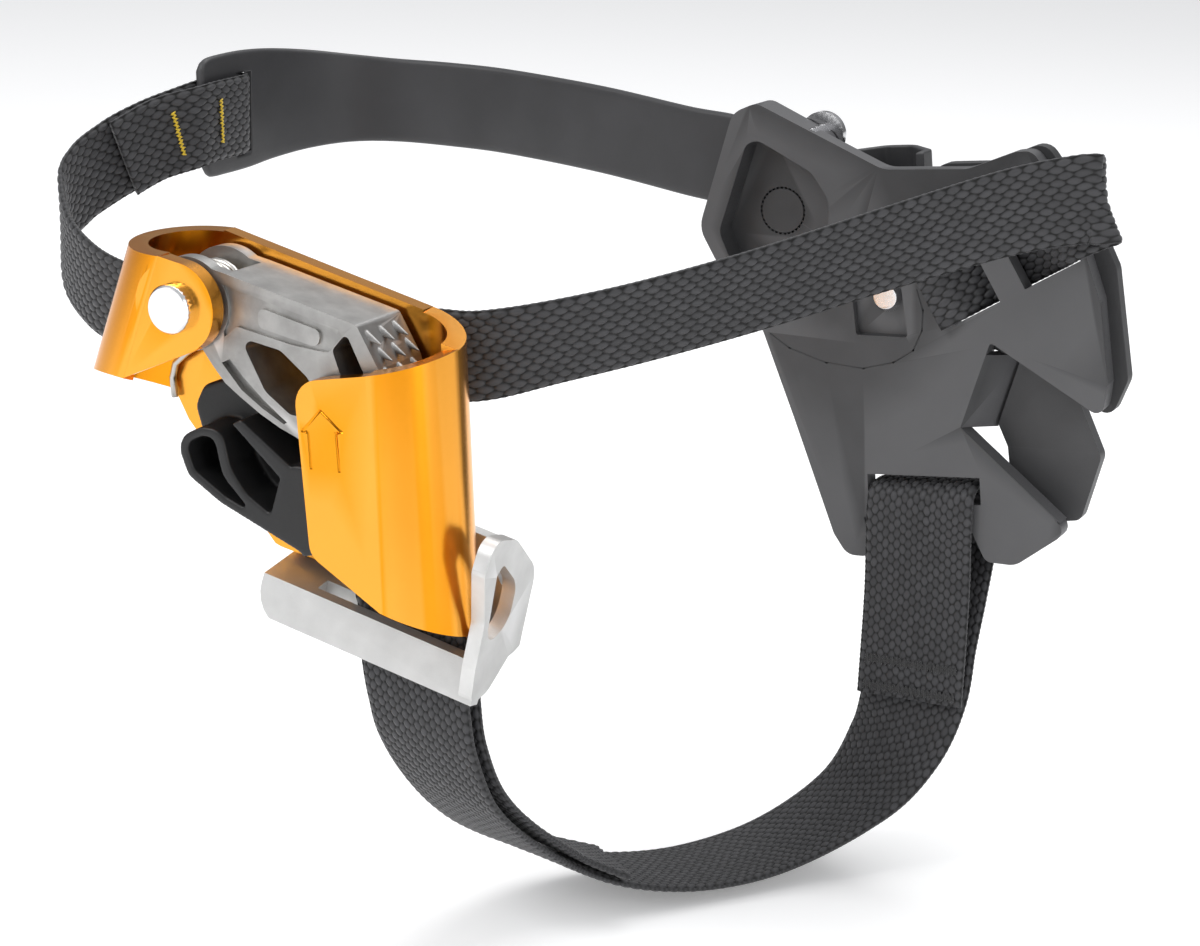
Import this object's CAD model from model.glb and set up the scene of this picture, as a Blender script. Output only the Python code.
import bpy, bmesh, math, random
import numpy as np
from mathutils import Vector, Matrix


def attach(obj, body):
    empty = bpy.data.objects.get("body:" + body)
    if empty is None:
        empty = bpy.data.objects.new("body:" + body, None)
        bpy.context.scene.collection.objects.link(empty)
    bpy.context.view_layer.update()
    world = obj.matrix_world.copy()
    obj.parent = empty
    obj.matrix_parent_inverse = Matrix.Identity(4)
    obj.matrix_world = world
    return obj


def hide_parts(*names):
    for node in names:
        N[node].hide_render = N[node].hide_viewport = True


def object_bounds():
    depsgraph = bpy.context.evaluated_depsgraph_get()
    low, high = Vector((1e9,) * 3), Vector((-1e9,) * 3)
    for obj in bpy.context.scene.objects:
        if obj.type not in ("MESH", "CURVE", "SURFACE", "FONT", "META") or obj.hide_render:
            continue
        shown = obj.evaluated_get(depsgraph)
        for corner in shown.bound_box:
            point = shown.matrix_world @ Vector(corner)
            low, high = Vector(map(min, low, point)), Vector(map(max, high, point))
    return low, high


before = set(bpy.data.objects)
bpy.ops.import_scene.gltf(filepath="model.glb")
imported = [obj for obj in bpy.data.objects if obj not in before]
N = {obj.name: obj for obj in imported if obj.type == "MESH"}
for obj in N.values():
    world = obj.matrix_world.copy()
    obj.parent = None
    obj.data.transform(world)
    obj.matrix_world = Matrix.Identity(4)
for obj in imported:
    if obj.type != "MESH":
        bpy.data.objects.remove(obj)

random.seed(7)
rng = np.random.default_rng(7)
MM = 0.001
OFF = np.array([-20.0, -60.0, 0.0])          # axle frame to row frame, mm
cad_lo, cad_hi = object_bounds()
scene = bpy.context.scene


# ------------------------------------------------------------------ helpers
def new_object(name, verts, faces, mat=None, smooth=True, body="chassis", uv=None):
    me = bpy.data.meshes.new(name)
    me.from_pydata([tuple(v) for v in verts], [], [tuple(int(i) for i in f) for f in faces])
    me.validate()
    me.update()
    if uv is not None:
        layer = me.uv_layers.new(name="UVMap")
        idx = np.zeros(len(me.loops), np.int32)
        me.loops.foreach_get("vertex_index", idx)
        layer.data.foreach_set("uv", np.asarray(uv, np.float32)[idx].ravel())
    if smooth:
        me.polygons.foreach_set("use_smooth", np.ones(len(me.polygons), bool))
    o = bpy.data.objects.new(name, me)
    scene.collection.objects.link(o)
    if mat:
        me.materials.append(mat)
    if body:
        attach(o, body)
    return o


def row(p):
    """A point of the axle frame in mm, as a point of the row frame in metres."""
    return (np.asarray(p, float) + OFF) * MM


def soften(o, width, segments=3, angle=35, weld=True, planar=False):
    if weld:
        w = o.modifiers.new("weld", "WELD")
        w.merge_threshold = 1e-6
    if planar:
        f = o.modifiers.new("flats", "DECIMATE")
        f.decimate_type = "DISSOLVE"
        f.angle_limit = math.radians(0.8)
    b = o.modifiers.new("bevel", "BEVEL")
    b.width = width * MM
    b.segments = segments
    b.limit_method = "ANGLE"
    b.angle_limit = math.radians(angle)
    b.use_clamp_overlap = True
    b.harden_normals = False
    o.data.polygons.foreach_set("use_smooth", np.ones(len(o.data.polygons), bool))
    n = o.modifiers.new("normals", "WEIGHTED_NORMAL")
    n.keep_sharp = False
    n.weight = 80
    return o


def plain_smooth(o, angle=35):
    w = o.modifiers.new("weld", "WELD")
    w.merge_threshold = 1e-6
    return o


# ------------------------------------------------------------------ materials
class Mat:
    """A small builder for node materials."""
    def __init__(self, name):
        self.m = bpy.data.materials.new(name)
        self.m.use_nodes = True
        self.nt = self.m.node_tree
        self.b = self.nt.nodes["Principled BSDF"]
        self.obj = None

    def n(self, kind, **kw):
        x = self.nt.nodes.new(kind)
        for k, v in kw.items():
            if k.startswith("_"):
                setattr(x, k[1:], v)
            else:
                x.inputs[k.replace("__", " ")].default_value = v
        return x

    def link(self, a, b):
        self.nt.links.new(a, b)

    def coords(self):
        if self.obj is None:
            self.obj = self.n("ShaderNodeTexCoord").outputs["Object"]
        return self.obj

    def noise(self, scale, detail=4, rough=0.5, vec=None, stretch=None):
        x = self.n("ShaderNodeTexNoise")
        x.inputs["Scale"].default_value = scale
        x.inputs["Detail"].default_value = detail
        x.inputs["Roughness"].default_value = rough
        v = vec or self.coords()
        if stretch:
            mp = self.n("ShaderNodeMapping")
            mp.inputs["Scale"].default_value = stretch
            self.link(v, mp.inputs["Vector"])
            v = mp.outputs["Vector"]
        self.link(v, x.inputs["Vector"])
        return x.outputs["Fac"]

    def ramp(self, fac, stops):
        r = self.n("ShaderNodeValToRGB")
        el = r.color_ramp.elements
        while len(el) > len(stops):
            el.remove(el[-1])
        while len(el) < len(stops):
            el.new(1.0)
        for e, (p, c) in zip(el, stops):
            e.position = p
            e.color = (*c, 1.0) if len(c) == 3 else c
        self.link(fac, r.inputs["Fac"])
        return r.outputs["Color"]

    def math(self, op, a, b=None, c=None, clamp=False):
        x = self.n("ShaderNodeMath")
        x.operation = op
        x.use_clamp = clamp
        for i, v in enumerate((a, b, c)):
            if v is None:
                continue
            if isinstance(v, (int, float)):
                x.inputs[i].default_value = v
            else:
                self.link(v, x.inputs[i])
        return x.outputs[0]

    def mix(self, fac, a, b, blend="MIX"):
        x = self.n("ShaderNodeMix")
        x.data_type = "RGBA"
        x.blend_type = blend
        for sock, v in ((x.inputs["Factor"], fac), (x.inputs[6], a), (x.inputs[7], b)):
            if isinstance(v, (int, float)):
                sock.default_value = v
            elif isinstance(v, tuple):
                sock.default_value = (*v, 1.0) if len(v) == 3 else v
            else:
                self.link(v, sock)
        return x.outputs[2]

    def bump(self, height, strength, dist, normal=None):
        x = self.n("ShaderNodeBump")
        x.inputs["Strength"].default_value = strength
        x.inputs["Distance"].default_value = dist
        self.link(height, x.inputs["Height"])
        if normal:
            self.link(normal, x.inputs["Normal"])
        return x.outputs["Normal"]

    def edges(self, lo=0.52, hi=0.6):
        """0 in the flat, 1 on convex edges."""
        g = self.n("ShaderNodeNewGeometry")
        return self.ramp(g.outputs["Pointiness"], [(lo, (0, 0, 0)), (hi, (1, 1, 1))])

    def set(self, **kw):
        for k, v in kw.items():
            s = self.b.inputs[k.replace("__", " ")]
            if isinstance(v, (int, float)):
                s.default_value = v
            elif isinstance(v, tuple):
                s.default_value = (*v, 1.0) if len(v) == 3 and s.type == "RGBA" else v
            else:
                self.link(v, s)
        return self


def orange_anodised():
    m = Mat("orange_anodised")
    grain = m.noise(900, 3, 0.6, stretch=(1, 1, 5))
    blotch = m.noise(55, 3)
    col = m.mix(m.ramp(blotch, [(0.3, (0, 0, 0)), (0.75, (1, 1, 1))]), (0.80, 0.285, 0.006), (0.86, 0.325, 0.012))
    col = m.mix(m.math("MULTIPLY", m.edges(0.53, 0.64), 0.35), col, (0.98, 0.52, 0.12))
    rough = m.math("MULTIPLY_ADD", grain, 0.05, 0.19)
    rough = m.math("MULTIPLY_ADD", blotch, 0.05, rough)
    m.set(Base__Color=col, Metallic=1.0, Roughness=rough, Normal=m.bump(grain, 0.03, 0.00006))
    m.set(**{"Coat Weight": 0.1, "Coat Roughness": 0.2})
    return m.m


def cast_steel():
    m = Mat("cast_steel")
    fine = m.noise(2600, 4, 0.7)
    mid = m.noise(260, 4, 0.55)
    col = m.ramp(mid, [(0.25, (0.27, 0.265, 0.255)), (0.55, (0.35, 0.345, 0.335)), (0.8, (0.44, 0.435, 0.42))])
    col = m.mix(m.math("MULTIPLY", m.edges(0.53, 0.62), 0.6), col, (0.78, 0.77, 0.76))
    rough = m.math("MULTIPLY_ADD", fine, 0.18, 0.34)
    m.set(Base__Color=col, Metallic=0.9, Roughness=rough, Normal=m.bump(fine, 0.22, 0.00012, m.bump(mid, 0.15, 0.0003)))
    return m.m


def blasted_steel():
    m = Mat("blasted_steel")
    fine = m.noise(3200, 3, 0.7)
    mid = m.noise(180, 3)
    col = m.ramp(mid, [(0.3, (0.66, 0.66, 0.65)), (0.7, (0.76, 0.76, 0.75))])
    col = m.mix(m.math("MULTIPLY", m.edges(0.53, 0.62), 0.6), col, (0.93, 0.93, 0.93))
    rough = m.math("MULTIPLY_ADD", fine, 0.16, 0.40)
    m.set(Base__Color=col, Metallic=0.85, Roughness=rough, Normal=m.bump(fine, 0.28, 0.0001))
    return m.m


def polished(name, base=(0.80, 0.80, 0.81), rough0=0.12, turned=None):
    m = Mat(name)
    scuff = m.noise(700, 5, 0.65)
    col = m.mix(m.math("MULTIPLY", scuff, 0.25), base, tuple(c * 0.75 for c in base))
    rough = m.math("MULTIPLY_ADD", scuff, 0.16, rough0)
    m.set(Base__Color=col, Metallic=1.0, Roughness=rough, Normal=m.bump(scuff, 0.05, 0.0001))
    return m.m


def nylon(name, base, rough0=0.42, grain=2300, gs=0.14, edge=0.5):
    m = Mat(name)
    fine = m.noise(grain, 3, 0.6)
    mid = m.noise(120, 3)
    hi = tuple(min(1, c * 1.22) for c in base)
    col = m.mix(m.ramp(mid, [(0.3, (0, 0, 0)), (0.7, (1, 1, 1))]), base, hi)
    col = m.mix(m.math("MULTIPLY", m.edges(0.53, 0.63), edge), col, tuple(min(1, c * 2.6 + 0.02) for c in base))
    rough = m.math("MULTIPLY_ADD", fine, 0.16, rough0)
    m.set(Base__Color=col, Roughness=rough, Normal=m.bump(fine, gs, 0.00015))
    m.set(**{"Specular IOR Level": 0.5})
    return m.m


def webbing_material(name, base=(0.026, 0.026, 0.028), lift=2.2, threads=1.0):
    """Yarn that follows the strap: the UV map holds mm along and across it."""
    m = Mat(name)
    uv = m.n("ShaderNodeUVMap")
    uv.uv_map = "UVMap"
    # filaments: fine lines nearly along the strap
    mp = m.n("ShaderNodeMapping")
    mp.inputs["Scale"].default_value = (0.9, 9.0, 1.0)
    m.link(uv.outputs["UV"], mp.inputs["Vector"])
    fil = m.n("ShaderNodeTexNoise")
    fil.inputs["Scale"].default_value = 1.6
    fil.inputs["Detail"].default_value = 3
    m.link(mp.outputs["Vector"], fil.inputs["Vector"])
    at = m.n("ShaderNodeAttribute")
    at.attribute_name = "yarn"
    var = at.outputs["Fac"]
    at2 = m.n("ShaderNodeAttribute")
    at2.attribute_name = "depth"
    deep = at2.outputs["Fac"]
    blot = m.noise(60, 3)
    hi = tuple(c * lift for c in base)
    col = m.mix(var, base, hi)
    col = m.mix(m.math("MULTIPLY", fil.outputs["Fac"], 0.55), col, tuple(c * 2.1 for c in base))
    col = m.mix(m.math("MULTIPLY", blot, 0.25), col, tuple(c * 1.5 for c in base))
    col = m.mix(deep, (0.0025, 0.0025, 0.0025), col)
    rough = m.math("MULTIPLY_ADD", fil.outputs["Fac"], 0.25, 0.42)
    m.set(Base__Color=col, Roughness=rough, Normal=m.bump(fil.outputs["Fac"], 0.5, 0.00008))
    m.set(**{"Specular IOR Level": 0.42, "Sheen Weight": 0.25, "Sheen Roughness": 0.4})
    return m.m


def thread_material(name, base):
    m = Mat(name)
    fine = m.noise(2400, 3, 0.6)
    col = m.mix(m.math("MULTIPLY", fine, 0.5), base, tuple(c * 0.62 for c in base))
    m.set(Base__Color=col, Roughness=m.math("MULTIPLY_ADD", fine, 0.2, 0.45), Normal=m.bump(fine, 0.3, 0.0001))
    m.set(**{"Sheen Weight": 0.2})
    return m.m


def elastomer():
    m = Mat("elastomer")
    fine = m.noise(1900, 3, 0.6)
    mid = m.noise(70, 4)
    col = m.ramp(mid, [(0.3, (0.034, 0.034, 0.036)), (0.7, (0.046, 0.046, 0.049))])
    col = m.mix(m.math("MULTIPLY", m.edges(0.53, 0.63), 0.4), col, (0.11, 0.11, 0.115))
    m.set(Base__Color=col, Roughness=m.math("MULTIPLY_ADD", fine, 0.14, 0.44), Normal=m.bump(fine, 0.10, 0.0001))
    return m.m


M_ORANGE = orange_anodised()
M_CAST = cast_steel()
M_BLAST = blasted_steel()
M_CHROME = polished("polished_rivet")
M_WASHER = polished("washer_steel", (0.45, 0.45, 0.46), 0.28)
M_SPRING = polished("spring_wire", (0.52, 0.50, 0.47), 0.24)
M_BRASS = polished("bushing_brass", (0.62, 0.47, 0.24), 0.25)
M_CATCH = nylon("catch_nylon", (0.009, 0.009, 0.0095), 0.40, 2600, 0.12, 0.55)
M_PLATE = nylon("plate_nylon", (0.047, 0.047, 0.049), 0.42, 2600, 0.10, 0.45)
M_BACK = nylon("backing_nylon", (0.030, 0.030, 0.0315), 0.46, 2600, 0.12, 0.4)
M_ELAST = elastomer()
M_WEB_UP = webbing_material("instep_webbing")
M_WEB_SO = webbing_material("sole_webbing")
M_YELLOW = thread_material("yellow_thread", (0.86, 0.60, 0.03))
M_BLACKT = thread_material("black_thread", (0.035, 0.035, 0.036))


def dress(node, mat):
    o = N[node]
    o.data.materials.clear()
    o.data.materials.append(mat)
    return o


# ------------------------------------------------------------------ webbing
def catmull(P, step):
    """Points along a Catmull-Rom line through the stations, resampled evenly."""
    P = np.asarray(P, float)
    m = len(P)
    out = []
    K = 24
    for i in range(m - 1):
        a, b, c, d = P[max(i - 1, 0)], P[i], P[i + 1], P[min(i + 2, m - 1)]
        for k in range(K):
            u = k / K
            out.append(0.5 * (2 * b + (c - a) * u + (2 * a - 5 * b + 4 * c - d) * u * u + (3 * b - a - 3 * c + d) * u ** 3))
    out.append(P[-1])
    out = np.array(out)
    s = np.r_[0, np.cumsum(np.linalg.norm(np.diff(out[:, :3], axis=0), axis=1))]
    n = max(3, int(round(s[-1] / step)) + 1)
    t = np.linspace(0, s[-1], n)
    return np.stack([np.interp(t, s, out[:, k]) for k in range(out.shape[1])], 1), t


def frames_of(S):
    c = S[:, :3]
    tn = np.gradient(c, axis=0)
    tn /= np.linalg.norm(tn, axis=1)[:, None]
    d = S[:, 3:6]
    d = d - tn * (d * tn).sum(1)[:, None]
    d /= np.linalg.norm(d, axis=1)[:, None]
    q = np.cross(tn, d)
    return c, tn, d, q


def webbing(name, P, thick, mat, pu, pv, amp, step, across, node, edge_amp=0.16, soft_start=0, soft_end=0, wobble=0.0):
    """A woven strap with its floats as geometry. pu, pv: float length and width, mm."""
    S, s = catmull(P, step)
    # smooth the stations a little so that the strap has no kinks
    c, tn, d, q = frames_of(S)
    w = S[:, 6]
    n = len(s)
    rows_n = max(2, int(round(w.mean() / pv)))
    verts, uvs, yarn, depth = [], [], [], []
    # a ring round the section: front face, edge, back face, edge
    K = across
    E = 5
    ring = []
    for k in range(K + 1):
        ring.append(("f", -0.5 + k / K))
    for k in range(1, E):
        ring.append(("r", k / E))
    for k in range(K + 1):
        ring.append(("b", 0.5 - k / K))
    for k in range(1, E):
        ring.append(("l", k / E))
    R = len(ring)
    jitter = rng.uniform(0, 1, (rows_n + 2, int(s[-1] / pu) + 6, 2))
    rowshift = rng.uniform(-0.06, 0.06, rows_n + 2)
    V = np.zeros((n, R, 3))
    UV = np.zeros((n, R, 2))
    Y = np.zeros((n, R))
    D = np.ones((n, R))
    half = thick / 2
    wob = wobble * np.sin(s / 7.3) + wobble * 0.6 * np.sin(s / 3.1 + 1.0)

    def surface(v, side):
        """height and yarn value for the face at -0.5..0.5 across."""
        g = (v + 0.5) * rows_n
        r0 = int(min(rows_n - 1, max(0, math.floor(g))))
        best, tone = np.zeros(n), np.zeros(n)
        for r in (r0 - 1, r0, r0 + 1):
            if r < 0 or r >= rows_n:
                continue
            dv = g - r - 0.5
            ph = s / pu + 0.5 * (r % 2) + (0.25 if side else 0.0) + rowshift[r] + 0.09 * dv * (1 if r % 2 else -1)
            cell = np.floor(ph).astype(int)
            cu = np.clip(np.cos(math.pi * (ph - cell - 0.5)), 0, 1)
            j = jitter[r + 1, np.clip(cell + 1, 0, jitter.shape[1] - 1), side]
            hw = 0.63 * cu ** 0.6 + 1e-4
            h = cu ** 0.42 * np.sqrt(np.clip(1 - (dv / hw) ** 2, 0, 1)) * (0.87 + 0.13 * j)
            up = h > best
            best, tone = np.where(up, h, best), np.where(up, j, tone)
        return best, tone

    for k, (kind, v) in enumerate(ring):
        if kind in "fb":
            side = 0 if kind == "f" else 1
            h, j = surface(v, side)
            edge = 1 - max(0.0, (abs(v) - 0.44) / 0.06) ** 2 * 0.35 if abs(v) > 0.44 else 1.0
            z = (half * edge - amp + amp * h)
            sg = 1 if kind == "f" else -1
            V[:, k] = c + d * (w * v)[:, None] + q * (sg * z + wob)[:, None]
            UV[:, k, 0] = s
            UV[:, k, 1] = v * w + (100 if side else 0)
            Y[:, k] = 0.15 + 0.85 * j * h
            D[:, k] = np.clip(h * 1.9 - 0.35, 0.0, 1.0)
        else:
            sg = 1 if kind == "r" else -1
            a = math.pi * v
            ridge = 0.5 + 0.5 * np.cos(2 * math.pi * (s / (pu * 0.5)))
            bulge = np.sin(a) * (half * 0.42) * (0.72 + 0.28 * ridge)
            z = (half * 0.65 - amp * 0.3) * np.cos(a) * (1 if kind == "r" else -1)
            V[:, k] = c + d * (sg * (w / 2 + bulge))[:, None] + q * (z + wob)[:, None]
            UV[:, k, 0] = s
            UV[:, k, 1] = sg * w / 2 + sg * v
            Y[:, k] = 0.3 + 0.3 * ridge
            D[:, k] = 0.35 + 0.65 * ridge
    verts = row(V.reshape(-1, 3))
    idx = np.arange(n * R).reshape(n, R)
    a = idx[:-1, :]
    b = idx[1:, :]
    quads = np.stack([a, np.roll(a, -1, 1), np.roll(b, -1, 1), b], -1).reshape(-1, 4)
    faces = quads.tolist()
    # the cut ends: strips between front and back
    for i, flip in ((0, False), (n - 1, True)):
        f = [idx[i, k] for k in range(K + 1)]
        bk = [idx[i, K + E + (K - k)] for k in range(K + 1)]
        for k in range(K):
            quad = [f[k], bk[k], bk[k + 1], f[k + 1]]
            faces.append(quad[::-1] if flip else quad)
        rt = [idx[i, K]] + [idx[i, K + 1 + e] for e in range(E - 1)] + [idx[i, K + E]]
        lf = [idx[i, 2 * K + E]] + [idx[i, 2 * K + E + 1 + e] for e in range(E - 1)] + [idx[i, 0]]
        faces.append(rt[::-1] if not flip else rt)
        faces.append(lf[::-1] if not flip else lf)
    o = new_object(name, verts, faces, mat, True, "chassis", UV.reshape(-1, 2))
    me = o.data
    for nm, arr in (("yarn", Y), ("depth", D)):
        at = me.attributes.new(nm, "FLOAT", "POINT")
        at.data.foreach_set("value", arr.astype(np.float32).ravel())
    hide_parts(node)
    bm = bmesh.new()
    bm.from_mesh(me)
    bmesh.ops.recalc_face_normals(bm, faces=bm.faces)
    bm.to_mesh(me)
    bm.free()
    return o, (S, s, c, tn, d, q)


SW, UW, TH = 20.0, 15.0, 1.5
SOLE = [[57, 51, -104.4, 0.75, -0.6, 0.1], [48.6, 43.2, -99.6, 0.8, -0.5, 0.15], [43.6, 32.8, -91.6, 0.85, -0.4, 0.2],
    [41, 23.8, -82, 0.9, -0.25, 0.1], [39.3, 18.8, -72.6, 1, -0.1, 0], [38.2, 17.6, -65, 1, -0.05, -0.1],
    [37, 18.4, -57, 1, 0, -0.2], [36.4, 19.5, -51, 1, 0, -0.2], [36, 19.5, -47, 1, 0, -0.2], [36, 18.6, -44.9, 1, 0, -0.2],
    [36, 17, -44.3, 1, 0, -0.2], [36, 15.2, -45.6, 1, 0, -0.2], [36.2, 14.4, -48, 1, 0, -0.2], [36.4, 14.4, -51, 1, 0, -0.2],
    [37, 14.2, -57, 1, 0, -0.2], [38, 14.6, -66, 1, -0.05, -0.1], [38.8, 16.4, -73.6, 1, -0.1, 0],
    [40.5, 22, -84, 0.9, -0.25, 0.1], [43, 32, -94, 0.85, -0.4, 0.2], [48, 43.6, -102.2, 0.8, -0.5, 0.15],
    [57, 54, -107.2, 0.75, -0.6, 0.1], [67, 66, -109, 0.75, -0.65, 0.05], [77, 79, -107, 0.75, -0.65, 0],
    [87.5, 89, -99, 0.85, -0.5, 0], [93.5, 94, -89, 0.95, -0.25, 0], [96, 96.8, -79, 1, 0, 0.1],
    [96.3, 99.4, -70, 1, 0, 0.12], [96.2, 103.6, -62, 1, 0, 0.12], [95.6, 108.6, -54, 1, 0, 0.12],
    [94.6, 110, -48, 1, 0, 0.12], [94, 109.8, -43.6, 1, 0, 0.12], [93.8, 107.6, -40.9, 1, 0, 0.12],
    [93.7, 104, -40.2, 1, 0, 0.12], [93.6, 100.8, -41.2, 1, 0, 0.12], [93.6, 99.6, -44, 1, 0, 0.12],
    [93.8, 99.4, -50, 1, 0, 0.12], [94.6, 98.2, -59, 1, 0, 0.12], [95.4, 96, -69, 1, 0, 0.12], [95.8, 94.6, -79.6, 1, 0, 0.1]]
UPPER = [[-55.2, 60.4, 10.4, 0, 0, 1], [-52.4, 67.5, 13.4, 0, 0, 1], [-48, 73.5, 15.3, 0, 0, 1],
    [-47.1, 79, 16, 0, 0, 1], [-47.1, 86, 16.2, 0, 0, 1], [-47.5, 89.6, 16.2, 0, 0, 1], [-49, 91, 16.2, 0, 0, 1],
    [-50.5, 89.6, 16.2, 0, 0, 1], [-50.9, 86, 16.2, 0, 0, 1], [-50.9, 79, 16, 0, 0, 1], [-51.8, 73.5, 15, 0, 0, 1],
    [-54.8, 66.5, 12.8, 0, 0, 1], [-57.6, 59.5, 9.8, 0, 0, 1], [-58.8, 52, 6.4, 0, 0, 1], [-57, 44.6, 2.4, 0, 0, 1],
    [-50, 36.4, -3, 0, 0, 1], [-40, 29.4, -6, 0, 0, 1], [-31, 26, -7.8, 0, 0, 1], [-20, 24.4, -8.6, 0, 0, 1],
    [0, 24.2, -8.5, 0, 0, 1], [24, 24.2, -8, 0, 0, 1], [36, 24.3, -7.8, 0, 0, 1], [43, 26.2, -7.3, 0, -0.1, 1],
    [52.2, 33, -5.2, 0.05, -0.25, 0.95], [63.3, 45, -2.4, 0.05, -0.3, 0.95], [76.4, 62, 1.6, 0, -0.3, 0.95],
    [93.5, 80, 8, -0.05, -0.25, 0.95], [109.4, 91, 13.8, -0.15, -0.2, 0.95], [119.6, 95.4, 16.4, -0.2, -0.1, 0.95],
    [123, 97.2, 16.6, -0.25, 0, 0.95], [123.4, 99, 16, -0.3, 0, 0.95], [120.6, 99.4, 14.6, -0.5, 0, 0.85],
    [116, 99.6, 12, -0.54, 0, 0.84], [113.4, 101.2, 10.2, -0.54, 0, 0.84], [110.2, 104.2, 8.1, -0.54, 0, 0.84],
    [107, 106.2, 6, -0.54, 0, 0.84], [103.6, 106.6, 3.8, -0.54, 0, 0.84], [100.4, 106, 1.7, -0.54, 0, 0.84],
    [97.4, 103.4, -0.2, -0.54, 0, 0.84], [94.8, 100.6, -1.9, -0.54, 0, 0.84], [91.4, 99.4, -4.1, -0.54, 0, 0.84]]
SOLE = [p + [SW] for p in SOLE]
UPPER = [p + [UW] for p in UPPER]
STEP = 0.21
sole, sole_f = webbing("sole_webbing", SOLE, TH, M_WEB_SO, 1.9, 1.1, 0.30, STEP, 150, "sole_strap")
upper, upper_f = webbing("instep_webbing", UPPER, TH, M_WEB_UP, 2.7, 1.12, 0.36, STEP, 112, "upper_strap")


# ------------------------------------------------------------------ heel band
def ribbon_mesh(name, P, th, step, K, mat, node, round_r=0.45):
    S, s = catmull(P, step)
    c, tn, d, q = frames_of(S)
    w = S[:, 6]
    n = len(s)
    prof = []
    half = th / 2
    for k in range(K + 1):
        prof.append((-0.5 + k / K, half, 0))
    ring_v, ring_z = [], []
    # section with rounded edges: (offset from the edge, height)
    E = 6
    ring = [("f", k / K) for k in range(K + 1)] + [("r", math.pi * k / E) for k in range(1, E)] + \
           [("b", k / K) for k in range(K + 1)] + [("l", math.pi * k / E) for k in range(1, E)]
    R = len(ring)
    V = np.zeros((n, R, 3))
    # end caps narrow the width to round the corners
    for k, (kind, v) in enumerate(ring):
        inset = w / 2 - half
        if kind == "f":
            x, z = (-1 + 2 * v) * inset, half + 0 * w
        elif kind == "b":
            x, z = (1 - 2 * v) * inset, -half + 0 * w
        elif kind == "r":
            x, z = inset + half * math.sin(v), half * math.cos(v) + 0 * w
        else:
            x, z = -inset - half * math.sin(v), -half * math.cos(v) + 0 * w
        V[:, k] = c + d * x[:, None] + q * z[:, None]
    idx = np.arange(n * R).reshape(n, R)
    a, b = idx[:-1], idx[1:]
    faces = np.stack([a, np.roll(a, -1, 1), np.roll(b, -1, 1), b], -1).reshape(-1, 4).tolist()
    faces.append([idx[0, k] for k in range(R)][::-1])
    faces.append([idx[n - 1, k] for k in range(R)])
    o = new_object(name, row(V.reshape(-1, 3)), faces, mat)
    bm = bmesh.new()
    bm.from_mesh(o.data)
    bmesh.ops.recalc_face_normals(bm, faces=bm.faces)
    bm.to_mesh(o.data)
    bm.free()
    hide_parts(node)
    return o


def prism(name, pts, y0, y1, plane=None):
    """A closed prism from an XZ outline (axle frame, mm), between two Y planes; hidden, for cutting."""
    n = len(pts)
    v = [(p[0], y0, p[1]) for p in pts] + [(p[0], y1, p[1]) for p in pts]
    if plane is not None:
        v = [plane(p) for p in v]
    f = [list(range(n)), list(range(2 * n - 1, n - 1, -1))] + [[i, i + n, (i + 1) % n + n, (i + 1) % n] for i in range(n)]
    me = bpy.data.meshes.new(name)
    me.from_pydata([tuple(row(p)) for p in v], [], f)
    bm = bmesh.new()
    bm.from_mesh(me)
    bmesh.ops.recalc_face_normals(bm, faces=bm.faces)
    bm.to_mesh(me)
    bm.free()
    o = bpy.data.objects.new(name, me)
    scene.collection.objects.link(o)
    o.hide_render = True
    o.hide_viewport = True
    return o


def cut(o, cutter, before_bevel=False):
    m = o.modifiers.new("cut", "BOOLEAN")
    m.operation = "DIFFERENCE"
    m.object = cutter
    m.solver = "EXACT"
    return m


BAND = [[-49, 77, 16.3, 0, 0, 1, 20], [-49, 78.6, 16.4, 0, 0, 1, 23], [-49, 84, 16.6, 0, 0, 1, 23.6], [-49, 92, 16.7, 0, 0, 1, 23.4],
    [-48.6, 101, 16.8, 0, 0, 1, 22], [-46, 110, 16.8, 0, 0, 1, 20], [-40.5, 117, 16.7, 0, 0, 1, 18], [-32, 121, 16.6, 0, 0, 1, 17],
    [-20, 122.6, 16.6, 0, 0, 1, 17], [-6, 122, 16.5, 0, 0, 1, 17], [17, 117.4, 15.8, 0, 0, 1, 17], [38, 112, 14.5, 0, 0, 1, 17],
    [50, 109.8, 13.7, 0, 0, 1, 17.4], [57, 109, 10.5, 0, 0, 1, 17.6], [63, 109, 7, 0, 0, 1, 18.6], [70, 109, 5, 0, 0, 1, 21],
    [78, 109, 3.4, 0, 0, 1, 24], [88, 109, 3, 0, 0, 1, 25]]
band = ribbon_mesh("heel_band_elastomer", BAND, 1.6, 0.8, 14, M_ELAST, "heel_band")
slot_cut = prism("band_slot_cut", [(-53, 8.4), (-45, 8.4), (-45, 24.2), (-53, 24.2)], 87.6, 92.4)
cut(band, slot_cut)
for i, (x, z, r) in enumerate([(83.9, -6.15, 2.1)]):
    cut(band, prism(f"band_hole_{i}", [(x + r * math.cos(a), z + r * math.sin(a)) for a in np.linspace(0, 2 * math.pi, 25)[:-1]], 104, 114))

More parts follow.
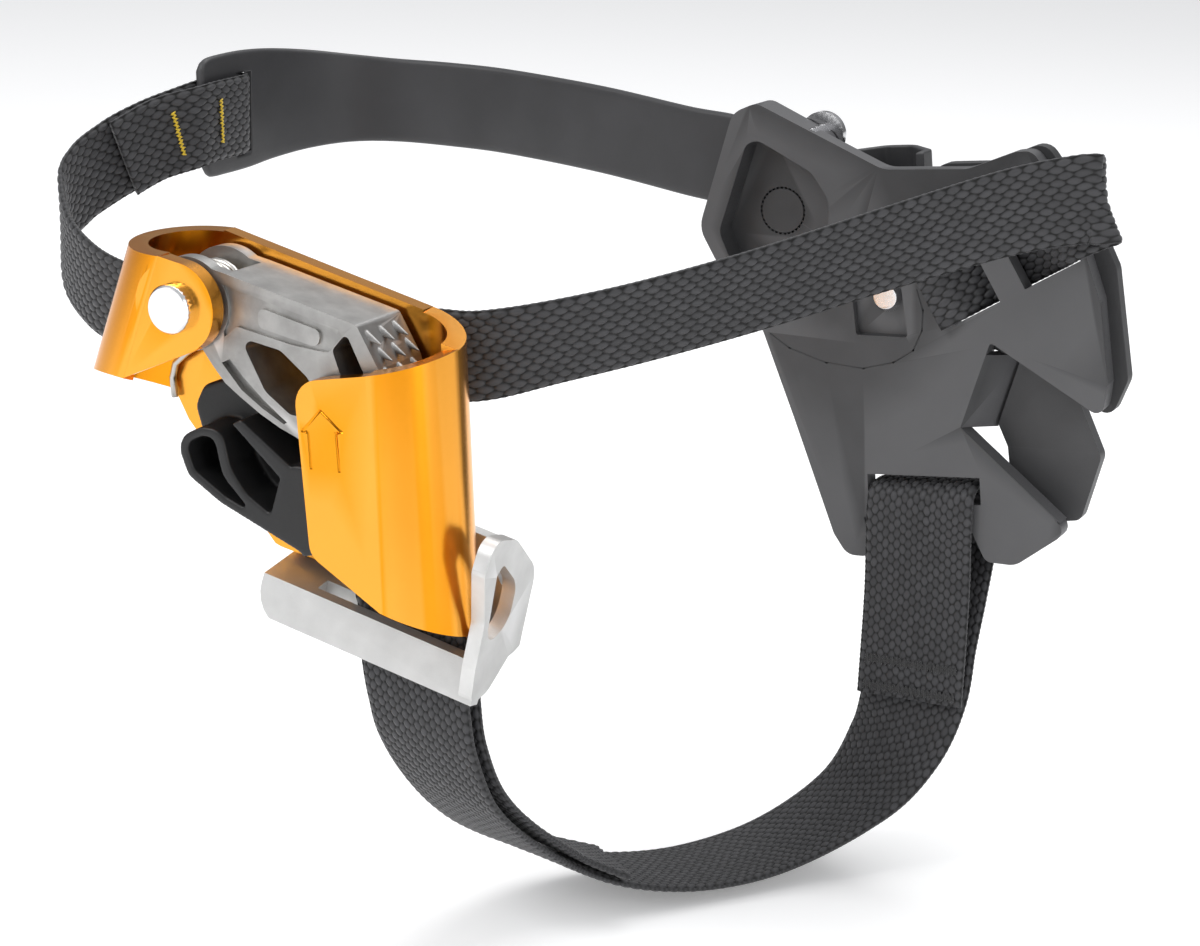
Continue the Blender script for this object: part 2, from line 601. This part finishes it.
# ------------------------------------------------------------------ hard parts
def strokes(name, paths, w, y0, y1, to=None):
    """Thin bars along lines in the XZ plane, as one hidden cutter."""
    V, F = [], []
    for P in paths:
        for (x0, z0), (x1, z1) in zip(P[:-1], P[1:]):
            d = np.array([x1 - x0, z1 - z0])
            L = np.linalg.norm(d)
            d = d / L
            nrm = np.array([-d[1], d[0]]) * w / 2
            p0, p1 = np.array([x0, z0]) - d * w * 0.45, np.array([x1, z1]) + d * w * 0.45
            q = [p0 + nrm, p0 - nrm, p1 - nrm, p1 + nrm]
            o = len(V)
            for y in (y0, y1):
                for k in q:
                    V.append((k[0], y, k[1]))
            F += [[o, o + 1, o + 2, o + 3], [o + 7, o + 6, o + 5, o + 4]]
            F += [[o + i, o + 4 + i, o + 4 + (i + 1) % 4, o + (i + 1) % 4] for i in range(4)]
    V = np.array(V)
    if to is not None:
        V = to(V)
    me = bpy.data.meshes.new(name)
    me.from_pydata([tuple(v) for v in row(V)], [], F)
    bm = bmesh.new()
    bm.from_mesh(me)
    bmesh.ops.recalc_face_normals(bm, faces=bm.faces)
    bm.to_mesh(me)
    bm.free()
    ob = bpy.data.objects.new(name, me)
    scene.collection.objects.link(ob)
    ob.hide_render = True
    ob.hide_viewport = True
    return ob


def engrave(o, cutter):
    m = o.modifiers.new("engrave", "BOOLEAN")
    m.operation = "DIFFERENCE"
    m.object = cutter
    m.solver = "EXACT"
    m.use_self = True
    # before the last, which evens out the normals
    o.modifiers.move(len(o.modifiers) - 1, max(0, len(o.modifiers) - 2))


soften(dress("frame_shell", M_ORANGE), 0.45, 3, 40, planar=True)
ARROW = [[(26.2, -22.7), (25.7, -16.9), (24.6, -16.8), (27.9, -13.0), (31.9, -15.9), (30.9, -16.3), (31.5, -22.4)]]
engrave(N["frame_shell"], strokes("arrow_cut", ARROW, 0.5, -1.0, 0.35))
soften(dress("axle_pin", M_CHROME), 0.3, 3, 40)
soften(dress("axle_washer", M_WASHER), 0.15, 2, 40)
plain_smooth(dress("cam_spring", M_SPRING))
N["cam_spring"].data.polygons.foreach_set("use_smooth", np.ones(len(N["cam_spring"].data.polygons), bool))
soften(dress("cam", M_CAST), 0.22, 2, 40, planar=True)
soften(dress("cam_bushing", M_BRASS), 0.12, 2, 40)
soften(dress("catch_pin", M_WASHER), 0.15, 2, 40)
plain_smooth(dress("catch_spring", M_SPRING))
N["catch_spring"].data.polygons.foreach_set("use_smooth", np.ones(len(N["catch_spring"].data.polygons), bool))
catch = dress("safety_catch", M_CATCH)
catch.modifiers.new("weld", "WELD").merge_threshold = 1e-6
rm = catch.modifiers.new("remesh", "REMESH")
rm.mode = "VOXEL"
rm.voxel_size = 0.00028
rm.use_smooth_shade = True
sm = catch.modifiers.new("smooth", "SMOOTH")
sm.factor = 0.5
sm.iterations = 10
soften(dress("strap_bracket", M_BLAST), 0.4, 3, 40, planar=True)
soften(dress("bracket_rivets", M_CHROME), 0.2, 2, 40)
soften(dress("side_plate", M_PLATE), 0.5, 3, 40, planar=True)
N["side_plate"].modifiers["bevel"].harden_normals = True
N["side_plate"].modifiers["normals"].weight = 100


def on_plate(V):
    """Plate x, height off the front face and plate y, as a point of the axle frame."""
    x, z, y = V[:, 0], V[:, 1], V[:, 2]
    cs, sn = math.cos(math.radians(7)), math.sin(math.radians(7))
    return np.stack([93 + cs * x - sn * y, 100.8 - z, -14.5 + sn * x + cs * y], 1)


SWEEP = [[(-31, 2.4), (-27.5, -0.2), (-20.3, -2.9), (-13, -3.9), (-7.1, -2.7), (-3.1, -0.4), (-1.2, 3.3), (-0.8, 7), (-1.7, 10.8)]]
engrave(N["side_plate"], strokes("sweep_cut", SWEEP, 0.32, -0.2, 1.0, on_plate))
RING = [[(-29.4 + 4.3 * math.cos(a), 24.6 + 4.3 * math.sin(a)) for a in np.linspace(0, 2 * math.pi, 33)]]
engrave(N["side_plate"], strokes("ring_cut", RING, 0.4, -5.6, -4.6, on_plate))
soften(dress("side_plate_backing", M_BACK), 0.6, 3, 40, planar=True)
soften(dress("hook_tongue", M_PLATE), 0.4, 2, 40)
soften(dress("band_loop", M_ELAST), 0.4, 2, 40)
soften(dress("band_rivets", M_CHROME), 0.5, 4, 30)
soften(dress("rivet_washers", M_WASHER), 0.2, 2, 40)


# ------------------------------------------------------------------ stitching
def tube(points, r, k=6):
    P = np.asarray(points, float)
    m = len(P)
    tn = np.gradient(P, axis=0)
    tn /= np.linalg.norm(tn, axis=1)[:, None]
    up = np.array([0.3, 0.2, 0.93])
    u = np.cross(tn, up)
    u /= np.linalg.norm(u, axis=1)[:, None]
    v = np.cross(tn, u)
    ang = np.linspace(0, 2 * math.pi, k + 1)[:-1]
    V = P[:, None] + r * (np.cos(ang)[None, :, None] * u[:, None] + np.sin(ang)[None, :, None] * v[:, None])
    V[0] = P[0] + (V[0] - P[0]) * 0.4
    V[-1] = P[-1] + (V[-1] - P[-1]) * 0.4
    idx = np.arange(m * k).reshape(m, k)
    f = np.stack([idx[:-1], np.roll(idx[:-1], -1, 1), np.roll(idx[1:], -1, 1), idx[1:]], -1).reshape(-1, 4).tolist()
    f.append(list(idx[0][::-1]))
    f.append(list(idx[-1]))
    return V.reshape(-1, 3), f


def join_tubes(name, list_of_points, r, mat, body, node):
    V, F, o = [], [], 0
    for P in list_of_points:
        v, f = tube(P, r)
        V.append(v)
        F += [[i + o for i in q] for q in f]
        o += len(v)
    ob = new_object(name, row(np.concatenate(V)), F, mat, True, body)
    bm = bmesh.new()
    bm.from_mesh(ob.data)
    bmesh.ops.recalc_face_normals(bm, faces=bm.faces)
    bm.to_mesh(ob.data)
    bm.free()
    if node:
        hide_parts(node)
    return ob


def surface_point(F, s0, v, lift):
    """A point on a strap: mm along, mm across, mm above its middle."""
    S, s, c, tn, d, q = F
    out = []
    for k in range(3):
        out.append(np.interp(s0, s, c[:, k]) + v * np.interp(s0, s, d[:, k]) + lift * np.interp(s0, s, q[:, k]))
    return np.array(out)


def along_at(F, p):
    S, s, c, tn, d, q = F
    return s[np.argmin(((c - np.asarray(p)) ** 2).sum(1))]


def bartack(F, s0, half_w, side, turns, amp=0.9, lift=0.86):
    """A zigzag of thread across the strap."""
    pts = []
    nn = turns * 6
    for i in range(nn + 1):
        v = -half_w + 2 * half_w * i / nn
        ph = (i % 6) / 6
        zig = amp * (4 * abs(ph - 0.5) - 1)
        pts.append(surface_point(F, s0 + zig * 0.5 + 0.12 * math.sin(i * 1.7), v, side * (lift + 0.10 * abs(math.sin(math.pi * i / 3)))))
    return pts


outer = [along_at(upper_f, (-51.8, 73.5, 15)), 0]
sA = along_at(upper_f, (-53.0, 70.4, 14.0))
S_, s_ = upper_f[0], upper_f[1]
half_index = len(s_) // 2


def along_after(F, p, lo, hi):
    S, s, c = F[0], F[1], F[2]
    sel = (s >= lo) & (s <= hi)
    k = np.argmin(((c[sel] - np.asarray(p)) ** 2).sum(1))
    return s[sel][k]


s_turn = along_at(upper_f, (-49, 91, 16.2))
s1 = along_after(upper_f, (-53.2, 70.0, 13.9), s_turn, s_turn + 60)
s2 = along_after(upper_f, (-50.9, 79.6, 16.0), s_turn, s_turn + 60)
s1b = along_after(upper_f, (-50.6, 70.8, 14.6), 0, s_turn)
s2b = along_after(upper_f, (-47.1, 79.6, 16.0), 0, s_turn)
tacks = []
for s0 in (s1, s2):
    for sg in (1, -1):
        tacks.append(bartack(upper_f, s0, 4.3, sg, 12))
for s0 in (s1b, s2b):
    for sg in (1, -1):
        tacks.append(bartack(upper_f, s0, 4.3, sg, 12))
join_tubes("hem_bar_tacks", tacks, 0.17, M_YELLOW, "chassis", "bar_tacks")

e1 = along_at(sole_f, (95.5, 95.4, -73))
e2 = along_at(sole_f, (95.7, 94.7, -78))
st = []
for s0 in (e1, e2):
    for sg in (1, -1):
        for off in (-0.45, 0.0, 0.45):
            st.append(bartack(sole_f, s0 + off, 9.0, sg, 22, 0.8, 0.72))
join_tubes("sole_bar_tacks", st, 0.15, M_BLACKT, "chassis", "sole_stitching")

# ------------------------------------------------------------------ stage
def floor_and_light():
    z = cad_lo.z - 0.0012
    me = bpy.data.meshes.new("floor")
    s = 6.0
    me.from_pydata([(-s, -s, z), (s, -s, z), (s, s, z), (-s, s, z)], [], [(0, 1, 2, 3)])
    o = bpy.data.objects.new("floor", me)
    scene.collection.objects.link(o)
    m = Mat("floor_paper")
    m.set(Base__Color=(0.93, 0.93, 0.93), Roughness=0.9)
    m.set(**{"Emission Color": (1.0, 1.0, 1.0), "Emission Strength": 0.22})
    o.data.materials.append(m.m)
    w = bpy.data.worlds.new("studio")
    scene.world = w
    w.use_nodes = True
    nt = w.node_tree
    bg = nt.nodes["Background"]
    tc = nt.nodes.new("ShaderNodeTexCoord")
    sep = nt.nodes.new("ShaderNodeSeparateXYZ")
    nt.links.new(tc.outputs["Generated"], sep.inputs[0])
    rp = nt.nodes.new("ShaderNodeValToRGB")
    nt.links.new(sep.outputs["Z"], rp.inputs["Fac"])
    el = rp.color_ramp.elements
    el[0].position, el[0].color = 0.0, (0.16, 0.16, 0.165, 1)
    el[1].position, el[1].color = 0.75, (0.85, 0.86, 0.88, 1)
    e = el.new(0.22)
    e.color = (0.26, 0.26, 0.27, 1)
    nt.links.new(rp.outputs["Color"], bg.inputs["Color"])
    bg.inputs["Strength"].default_value = 0.75

    def area(name, loc, target, size, power, size_y=None):
        l = bpy.data.lights.new(name, "AREA")
        l.energy = power
        l.size = size
        if size_y:
            l.shape = "RECTANGLE"
            l.size_y = size_y
        ob = bpy.data.objects.new(name, l)
        scene.collection.objects.link(ob)
        ob.location = loc
        ob.rotation_mode = "QUATERNION"
        ob.rotation_quaternion = (Vector(target) - Vector(loc)).to_track_quat("-Z", "Y")
        return ob
    mid = (0.01, 0.0, -0.03)
    area("key", (-0.50, -0.70, 0.70), mid, 0.45, 6.0, 0.7)
    area("fill", (0.95, -0.55, 0.30), mid, 0.35, 2.6, 0.8)
    area("top", (0.1, 0.45, 1.0), mid, 0.9, 6.5, 0.7)


floor_and_light()

# ------------------------------------------------------------------ camera
a_, e_, r_ = (math.radians(x) for x in (26.6, 16.41, 1.75))
F_ = Vector((-math.sin(a_) * math.cos(e_), math.cos(a_) * math.cos(e_), -math.sin(e_)))
R0 = Vector((math.cos(a_), math.sin(a_), 0))
U0 = R0.cross(F_)
Rr = R0 * math.cos(r_) + U0 * math.sin(r_)
Ur = -R0 * math.sin(r_) + U0 * math.cos(r_)
cam_data = bpy.data.cameras.new("camera")
cam = bpy.data.objects.new("camera", cam_data)
scene.collection.objects.link(cam)
cam.matrix_world = Matrix((
    (Rr.x, Ur.x, -F_.x, 0.2254),
    (Rr.y, Ur.y, -F_.y, -0.3948),
    (Rr.z, Ur.z, -F_.z, 0.0950),
    (0, 0, 0, 1)))
cam_data.sensor_fit = "HORIZONTAL"
cam_data.sensor_width = 36.0
cam_data.lens = 78.0
cam_data.clip_start = 0.01
cam_data.clip_end = 50
scene.camera = cam
scene.view_settings.view_transform = "Standard"
